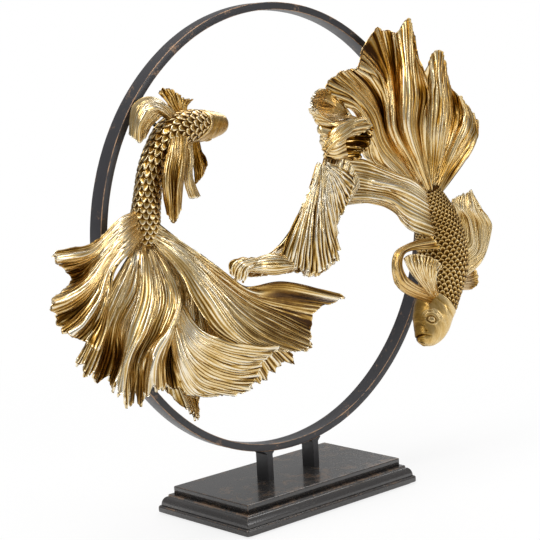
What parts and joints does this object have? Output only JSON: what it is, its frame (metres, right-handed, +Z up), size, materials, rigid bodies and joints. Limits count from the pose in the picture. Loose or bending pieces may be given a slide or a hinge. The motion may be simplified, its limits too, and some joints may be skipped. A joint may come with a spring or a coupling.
{
  "type": "fish figurine",
  "caption": "Two gold fish with veil tails on the front of a standing black steel ring, over a stepped black plinth; a free-standing ornament.",
  "frame": {"origin": "centre of the plinth's felt underside, on the surface it stands on", "axes": "+X to the right along the plinth and in the ring's plane, -Y to the front, where the fish are, +Z up"},
  "size_m": [0.7196, 0.1861, 0.6062],
  "materials": {
    "gold_leaf": "metallic antique gold leaf over cast resin, satin, with amber-brown in the hollows",
    "black_steel": "satin charcoal with edges worn to a coppery line",
    "black_lacquer_wood": "black-brown lacquer, half gloss, rubbed through to brown along the edges",
    "black_felt": "matt felt",
    "zinc_steel": "zinc plated"
  },
  "bodies": {
    "root": {"base_bottom_board": "black_lacquer_wood", "base_moulding": "black_lacquer_wood", "base_top_board": "black_lacquer_wood", "felt_sheet": "black_felt", "fish_pin_weld_beads": "black_steel", "left_fish_body": "gold_leaf", "left_fish_body_pin": "black_steel", "left_fish_dorsal_fin": "gold_leaf", "left_fish_far_pectoral_fin": "gold_leaf", "left_fish_hood_fin": "gold_leaf", "left_fish_pectoral_fin": "gold_leaf", "left_fish_pelvic_fin": "gold_leaf", "left_fish_tail_back_lobe": "gold_leaf", "left_fish_tail_outer_lobe": "gold_leaf", "left_fish_tail_pin": "black_steel", "left_fish_tail_sweep": "gold_leaf", "left_fish_tail_veil": "gold_leaf", "left_post": "black_steel", "post_screws": "zinc_steel", "post_washers": "zinc_steel", "post_weld_beads": "black_steel", "right_fish_body": "gold_leaf", "right_fish_body_pins": "black_steel", "right_fish_curling_fin": "gold_leaf", "right_fish_dorsal_fin": "gold_leaf", "right_fish_fan_pin": "black_steel", "right_fish_far_pectoral_fin": "gold_leaf", "right_fish_pectoral_fin": "gold_leaf", "right_fish_tail_arm": "gold_leaf", "right_fish_tail_back_fan": "gold_leaf", "right_fish_tail_cup": "gold_leaf", "right_fish_tail_front_fan": "gold_leaf", "right_fish_tail_roll": "gold_leaf", "right_fish_tail_sweep": "gold_leaf", "right_post": "black_steel", "ring": "black_steel"}
  },
  "joints": []
}
